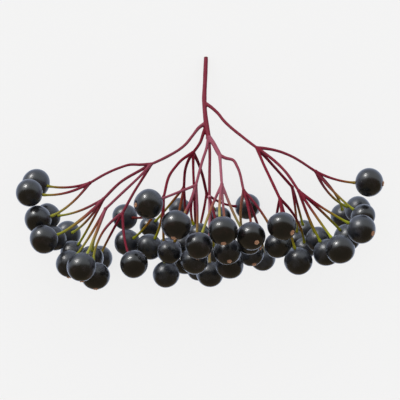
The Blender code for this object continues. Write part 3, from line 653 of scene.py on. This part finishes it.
def berry_shape(middle, radius, axes, draw):
    """A berry: slightly flattened, faintly uneven, dimpled at its pedicel and drawn in round its scar."""
    hang, side, up, seat = axes
    tilt = np.linspace(math.pi, 0.0, BERRY_RINGS + 2)[:, None]
    turn = np.linspace(0.0, 2 * math.pi, BERRY_SIDES, endpoint=False)[None, :]
    outward = (np.cos(tilt)[..., None] * hang + (np.sin(tilt) * np.cos(turn))[..., None] * side
               + (np.sin(tilt) * np.sin(turn))[..., None] * up)
    waves = [(draw.uniform(-1.0, 1.0, 3), draw.uniform(0.0, 2 * math.pi)) for _ in range(UNEVEN_WAVES)]
    uneven = sum(np.sin(WAVE_TURNS * outward @ wave + phase) for wave, phase in waves)
    size = radius * (1.0 + BERRY_UNEVEN * uneven)
    from_seat = np.arccos(np.clip(outward @ seat, -1.0, 1.0))
    size -= DIMPLE_DEPTH * np.exp(-(from_seat * radius / DIMPLE_WIDTH) ** 2)
    size -= BASIN_DEPTH * np.exp(-(tilt * radius / BASIN_WIDTH) ** 2)
    size *= 1.0 - (1.0 - BERRY_SQUASH) * (outward @ seat) ** 2
    skin = middle + size[..., None] * outward
    shape = lofted(skin[1:-1], skin[0, 0], skin[-1, 0])
    shoulder = 1.0 - from_seat / math.pi
    shoulder = np.concatenate((shoulder[0, :1], shoulder[1:-1].ravel(), shoulder[-1, :1]))
    return shape, shoulder, np.full(len(shoulder), draw.uniform(0.0, 1.0))


def build_berries(spray, berries, shift, skin, draw):
    made = [berry_shape(middle, radius, berry_axes(spray, number, radius, path), draw)
            for number, (_, middle, radius, path) in enumerate(berries)]
    points, quads, triangles = together([shape for shape, _, _ in made])
    mesh = mesh_of(f"berries {spray}", (points, quads, triangles))
    store(mesh, "shoulder", np.concatenate([polar for _, polar, _ in made]))
    store(mesh, "tone", np.concatenate([tone for _, _, tone in made]))
    put_in_place(mesh, points, shift)
    hand_over(f"berries_{spray}", mesh, skin, "berries", f"spray_{spray}")


def scar_shape(middle, radius, axes, draw):
    """The dried crown at the end of a berry: five blunt lobes round a basin with a stub in it."""
    hang, side, up, seat = axes
    turn = np.linspace(0.0, 2 * math.pi, SCAR_SIDES, endpoint=False)[None, :]
    start = draw.uniform(0.0, 2 * math.pi)
    lobe = (0.5 + 0.5 * np.cos(SCAR_LOBES * turn + start)) ** LOBE_BLUNTNESS
    lobe = lobe * (1.0 - LOBE_UNEVEN + LOBE_UNEVEN * np.cos(turn + 2.0 * start))
    size = SCAR_RADIUS * draw.uniform(*SCAR_RANGE)
    reach, height, lobe_height, lobe_reach, brown = np.array(SCAR_RINGS).T[:, :, None]
    out = size * (reach + lobe_reach * (lobe - 0.5))
    base = radius * (1.0 - (1.0 - BERRY_SQUASH) * (hang @ seat) ** 2) - BASIN_DEPTH
    rings = (middle + (base + height + lobe_height * lobe)[..., None] * hang
             + (out * np.cos(turn))[..., None] * side + (out * np.sin(turn))[..., None] * up)
    shape = lofted(rings, middle + (base + SCAR_FOOT) * hang, middle + (base + STUB_TOP) * hang)
    brown = brown * (1.0 - LOBE_BRIGHTER + LOBE_BRIGHTER * lobe)
    edge = np.concatenate(([0.0], brown.ravel(), [STUB_BROWN]))
    return shape, edge, np.full(len(edge), draw.uniform(0.0, 1.0))


def build_scars(spray, berries, shift, finish, draw):
    made = [scar_shape(middle, radius, berry_axes(spray, number, radius, path), draw)
            for number, (_, middle, radius, path) in enumerate(berries)]
    points, quads, triangles = together([shape for shape, _, _ in made])
    mesh = mesh_of(f"scars {spray}", (points, quads, triangles))
    store(mesh, "edge", np.concatenate([edge for _, edge, _ in made]))
    store(mesh, "tone", np.concatenate([tone for _, _, tone in made]))
    put_in_place(mesh, points, shift)
    hand_over(f"scars_{spray}", mesh, finish, "stem", f"spray_{spray}")


# ---- Finishes -----------------------------------------------------------------------------

class Value:
    """The output of a shader node, which can be reckoned with as a number can."""

    def __init__(self, nodes, socket):
        self.nodes, self.socket = nodes, socket

    def maths(self, operation, *values):
        return self.nodes.add("ShaderNodeMath", {"operation": operation}, dict(enumerate(values)))

    def __add__(self, other):
        return self.maths("ADD", self, other)

    def __sub__(self, other):
        return self.maths("SUBTRACT", self, other)

    def __rsub__(self, other):
        return self.maths("SUBTRACT", other, self)

    def __mul__(self, other):
        return self.maths("MULTIPLY", self, other)

    __radd__, __rmul__ = __add__, __mul__


class Nodes:
    """The shader nodes of a finish or of the sky."""

    def __init__(self, owner):
        owner.use_nodes = True
        self.owner, self.tree = owner, owner.node_tree

    def add(self, kind, settings=None, sockets=None, output=0):
        """A node of this kind, with its settings first and then the numbers or links of its sockets."""
        node = self.tree.nodes.new(kind)
        for name, setting in (settings or {}).items():
            if name == "stops":
                self.set_stops(node.color_ramp, setting)
            else:
                setattr(node, name, setting)
        for socket, value in (sockets or {}).items():
            self.feed(node.inputs[socket], value)
        return Value(self, node.outputs[output])

    def feed(self, socket, value):
        if isinstance(value, Value):
            self.tree.links.new(value.socket, socket)
        else:
            socket.default_value = value

    def set_stops(self, ramp, stops):
        for _ in stops[2:]:
            ramp.elements.new(0.5)
        for element, (position, colour) in zip(ramp.elements, stops):
            element.position = position
            element.color = (*colour, 1.0)

    def kept(self, name, output="Fac"):
        """What the mesh keeps for each of its points."""
        return self.add("ShaderNodeAttribute", {"attribute_name": name}, output=output)

    def noise(self, where, scale, detail, roughness=0.5):
        sockets = {"Vector": where, "Scale": scale, "Detail": detail, "Roughness": roughness}
        return self.add("ShaderNodeTexNoise", {}, sockets, "Fac")

    def ease(self, value, low, high):
        """0 up to the low value and 1 from the high one, smooth between them."""
        sockets = {"Value": value, "From Min": low, "From Max": high}
        return self.add("ShaderNodeMapRange", {"interpolation_type": "SMOOTHSTEP"}, sockets)

    def ramp(self, value, *stops):
        return self.add("ShaderNodeValToRGB", {"stops": stops}, {"Fac": value})

    def mix(self, share, first, second):
        """The first colour, with this share of the second mixed in."""
        first, second = ((*c, 1.0) if isinstance(c, tuple) else c for c in (first, second))
        return self.add("ShaderNodeMix", {"data_type": "RGBA"}, {0: share, 6: first, 7: second}, 2)

    def in_millimetres(self):
        spot = self.add("ShaderNodeTexCoord", output="Object")
        return self.add("ShaderNodeVectorMath", {"operation": "SCALE"}, {0: spot, "Scale": 1.0 / MM})

    def bump(self, height, depth, strength):
        """A fine relief, its depth in millimetres."""
        sockets = {"Height": height, "Distance": depth * MM, "Strength": strength}
        return self.add("ShaderNodeBump", {}, sockets)

    def finish(self, **sockets):
        shader = self.tree.nodes["Principled BSDF"]
        for name, value in sockets.items():
            self.feed(shader.inputs[name.replace("_", " ")], value)
        return self.owner


def stem_skin():
    """Elder skin: crimson, pale and dull where it is weathered, and brown to green near the berries. The
    near, higher stems are also painted paler and pinker as painted light, and the deeper ones a darker red
    as painted shade.
    """
    nodes = Nodes(bpy.data.materials.new("stem skin"))
    grain = nodes.kept("grain", "Vector")
    tint = nodes.kept("tint")
    streaks = nodes.noise(grain, 1.7, 5.0, 0.62)
    specks = nodes.noise(grain, 5.0, 2.0)
    turn = nodes.kept("turn") + (streaks - 0.5) * 0.25
    # Paler and pinker where the tint is high: partly weathering, partly painted light on the near, higher
    # stems.
    weathered_and_lit = nodes.ease(tint + (streaks - 0.5) * 0.8, 0.1, 1.0)
    colour = nodes.mix(weathered_and_lit * (0.85 - turn * 0.3), nodes.ramp(turn, *FRESH), nodes.ramp(turn, *FADED_AND_LIT))
    # Painted highlight: the highest tints turn the palest pink.
    colour = nodes.mix(nodes.ease(tint, 1.0, 2.5) * (1.0 - turn), colour, BLEACHED_AND_LIT)
    # Painted shade: tints below 0 darken the deeper, lower stems towards a dark red.
    painted_shade = nodes.ease(0.0 - tint + (streaks - 0.5) * 0.5, 0.1, 1.0)
    colour = nodes.mix(painted_shade * 0.75, colour, PAINTED_SHADE_RED)
    colour = nodes.mix(nodes.ease(streaks, 0.52, 0.72) * 0.35, colour, DARK_STREAK)
    pale = nodes.ease(specks, 0.62, 0.75) * (0.14 + weathered_and_lit * 0.3)
    colour = nodes.mix(pale, colour, PALE_SPECK)
    relief = nodes.bump(streaks + specks * 0.4, 0.06, 0.55)
    return nodes.finish(Base_Color=colour, Roughness=0.42 + streaks * 0.22, Normal=relief,
                        Specular_IOR_Level=0.07)


def berry_skin():
    """Ripe elderberry skin: nearly black, glossy, with a faint blue bloom thickest on the shoulders."""
    nodes = Nodes(bpy.data.materials.new("berry skin"))
    where = nodes.in_millimetres()
    shoulder, tone = nodes.kept("shoulder"), nodes.kept("tone")
    patches = nodes.noise(where, 0.55, 4.0, 0.6)
    pores = nodes.noise(where, 6.0, 3.0, 0.6)
    wine = nodes.ease(patches, 0.5, 0.75)
    skin = nodes.mix(wine * (0.25 + tone * 0.5), BERRY_BLACK, WINE_DARK)
    bloom = nodes.ease(shoulder + (patches - 0.5) * 0.8 + (pores - 0.5) * 0.25, 0.30, 1.1)
    bloom = bloom * (0.35 + tone * 0.4)
    skin = nodes.mix(bloom, skin, BLOOM_BLUE)
    dull = 0.23 + bloom * 0.3 + (pores - 0.5) * 0.08
    relief = nodes.bump(pores * 0.6 + patches, 0.02, 0.35)
    return nodes.finish(Base_Color=skin, Roughness=dull, Normal=relief)


def scar_finish():
    """The dried crowns: copper brown, paler along their edges."""
    nodes = Nodes(bpy.data.materials.new("dried crown"))
    where = nodes.in_millimetres()
    edge, tone = nodes.kept("edge"), nodes.kept("tone")
    fibres = nodes.noise(where, 4.0, 4.0, 0.65)
    colour = nodes.ramp(edge * 0.8 + fibres * 0.4, *CROWN_BROWNS)
    colour = nodes.mix(tone * 0.35, colour, CROWN_DARK)
    relief = nodes.bump(fibres, 0.05, 0.7)
    return nodes.finish(Base_Color=colour, Roughness=0.55 + fibres * 0.25, Normal=relief)


def pith_finish():
    """The cut face: pale pith in a ring of greenish wood under a crimson edge."""
    nodes = Nodes(bpy.data.materials.new("cut pith"))
    where = nodes.in_millimetres()
    cells = nodes.noise(where, 14.0, 3.0, 0.6)
    out = nodes.kept("out") + (cells - 0.5) * 0.12
    colour = nodes.ramp(out, *PITH_TO_SKIN)
    relief = nodes.bump(cells, 0.03, 0.8)
    return nodes.finish(Base_Color=colour, Roughness=0.7 + cells * 0.2, Normal=relief)


# ---- The studio ---------------------------------------------------------------------------

def lay_floor():
    """A plain pale floor, which the berries' gloss doesn't pick up."""
    mesh = bpy.data.meshes.new("floor")
    half = FLOOR_HALF * MM
    corners = [(-half, -half, 0), (half, -half, 0), (half, half, 0), (-half, half, 0)]
    mesh.from_pydata(corners, [], [(0, 1, 2, 3)])
    floor = bpy.data.objects.new("floor", mesh)
    floor.location.z = -FLOOR_SINK * MM
    bpy.context.scene.collection.objects.link(floor)
    nodes = Nodes(bpy.data.materials.new("floor paper"))
    fibres = nodes.noise(nodes.in_millimetres(), 1.5, 4.0)
    paper = nodes.mix(fibres, FLOOR_PAPER, FLOOR_FIBRE)
    mesh.materials.append(nodes.finish(Base_Color=paper, Roughness=1.0, Specular_IOR_Level=0.0,
                                       Emission_Color=(1.0, 1.0, 1.0, 1.0), Emission_Strength=FLOOR_GLOW))
    floor.visible_glossy = False


def light_the_studio():
    """A bright half of the sky behind the cluster and a dim one in front, with one small lamp."""
    world = bpy.data.worlds.new("studio")
    bpy.context.scene.world = world
    nodes = Nodes(world)
    direction = nodes.add("ShaderNodeTexCoord", output="Generated")
    parts = nodes.add("ShaderNodeSeparateXYZ", {}, {0: direction}).socket.node.outputs
    far, up = Value(nodes, parts["Y"]), Value(nodes, parts["Z"])
    past_edge = far * math.cos(SKY_TILT) - up * math.sin(SKY_TILT)
    behind = nodes.mix(nodes.ease(up, LOW_EDGE, -LOW_EDGE), GLOSS_BEHIND, GLOSS_LOW)
    gloss = nodes.mix(nodes.ease(past_edge, -SKY_EDGE, SKY_EDGE), GLOSS_BEFORE, behind)
    gloss = nodes.mix(nodes.ease(up, *BELOW_EDGES), gloss, GLOSS_BELOW)
    dot = {"operation": "DOT_PRODUCT"}
    lampward = nodes.add("ShaderNodeVectorMath", dot, {0: direction, 1: LAMP_FROM}, "Value")
    gloss = nodes.mix(nodes.ease(lampward, GLOW_FROM, 1.0), gloss, GLOSS_GLOW)
    soft = nodes.mix(far * 0.5 + 0.5, SOFT_BEFORE, SOFT_BEHIND)
    sky = nodes.mix(nodes.add("ShaderNodeLightPath", output="Is Glossy Ray"), soft, gloss)
    sky = nodes.mix(nodes.add("ShaderNodeLightPath", output="Is Camera Ray"), sky, BACKDROP)
    background = nodes.tree.nodes["Background"]
    nodes.feed(background.inputs["Color"], sky)
    background.inputs["Strength"].default_value = 1.0
    lamp = bpy.data.lights.new("lamp", "SUN")
    lamp.energy = LAMP_POWER
    lamp.angle = math.radians(LAMP_SIZE)
    lamp.color = LAMP_COLOUR
    lamp.use_shadow = False
    lamp.cycles.use_multiple_importance_sampling = False
    key = bpy.data.objects.new("lamp", lamp)
    key.rotation_mode = "QUATERNION"
    key.rotation_quaternion = Vector(LAMP_FROM).to_track_quat("Z", "Y")
    bpy.context.scene.collection.objects.link(key)


def set_camera(shift):
    """The camera looks straight down on the cluster, and colours are shown as they are."""
    bpy.context.scene.view_settings.view_transform = "Standard"
    camera = bpy.data.cameras.new("camera")
    camera.sensor_width = CAMERA_WIDTH
    camera.lens = CAMERA_LENS
    camera.clip_start = CAMERA_NEAR
    seat = bpy.data.objects.new("camera", camera)
    seat.location = (CAMERA_OVER + shift) * MM
    bpy.context.scene.collection.objects.link(seat)
    bpy.context.scene.camera = seat


# ---- Everything together ------------------------------------------------------------------

def main():
    berries = lay_out()
    shift = to_the_middle(berries)
    draw = np.random.default_rng(SEED)
    stems, skins, crowns = stem_skin(), berry_skin(), scar_finish()
    stalk = build_stalk(shift, stems, draw)
    build_cut_face(stalk, shift, pith_finish())
    for spray in SPRAYS:
        group = [berry for berry in berries if berry[0] == spray]
        build_pedicels(spray, group, shift, stems, draw)
        build_berries(spray, group, shift, skins, draw)
        build_scars(spray, group, shift, crowns, draw)
    lay_floor()
    light_the_studio()
    set_camera(shift)


main()
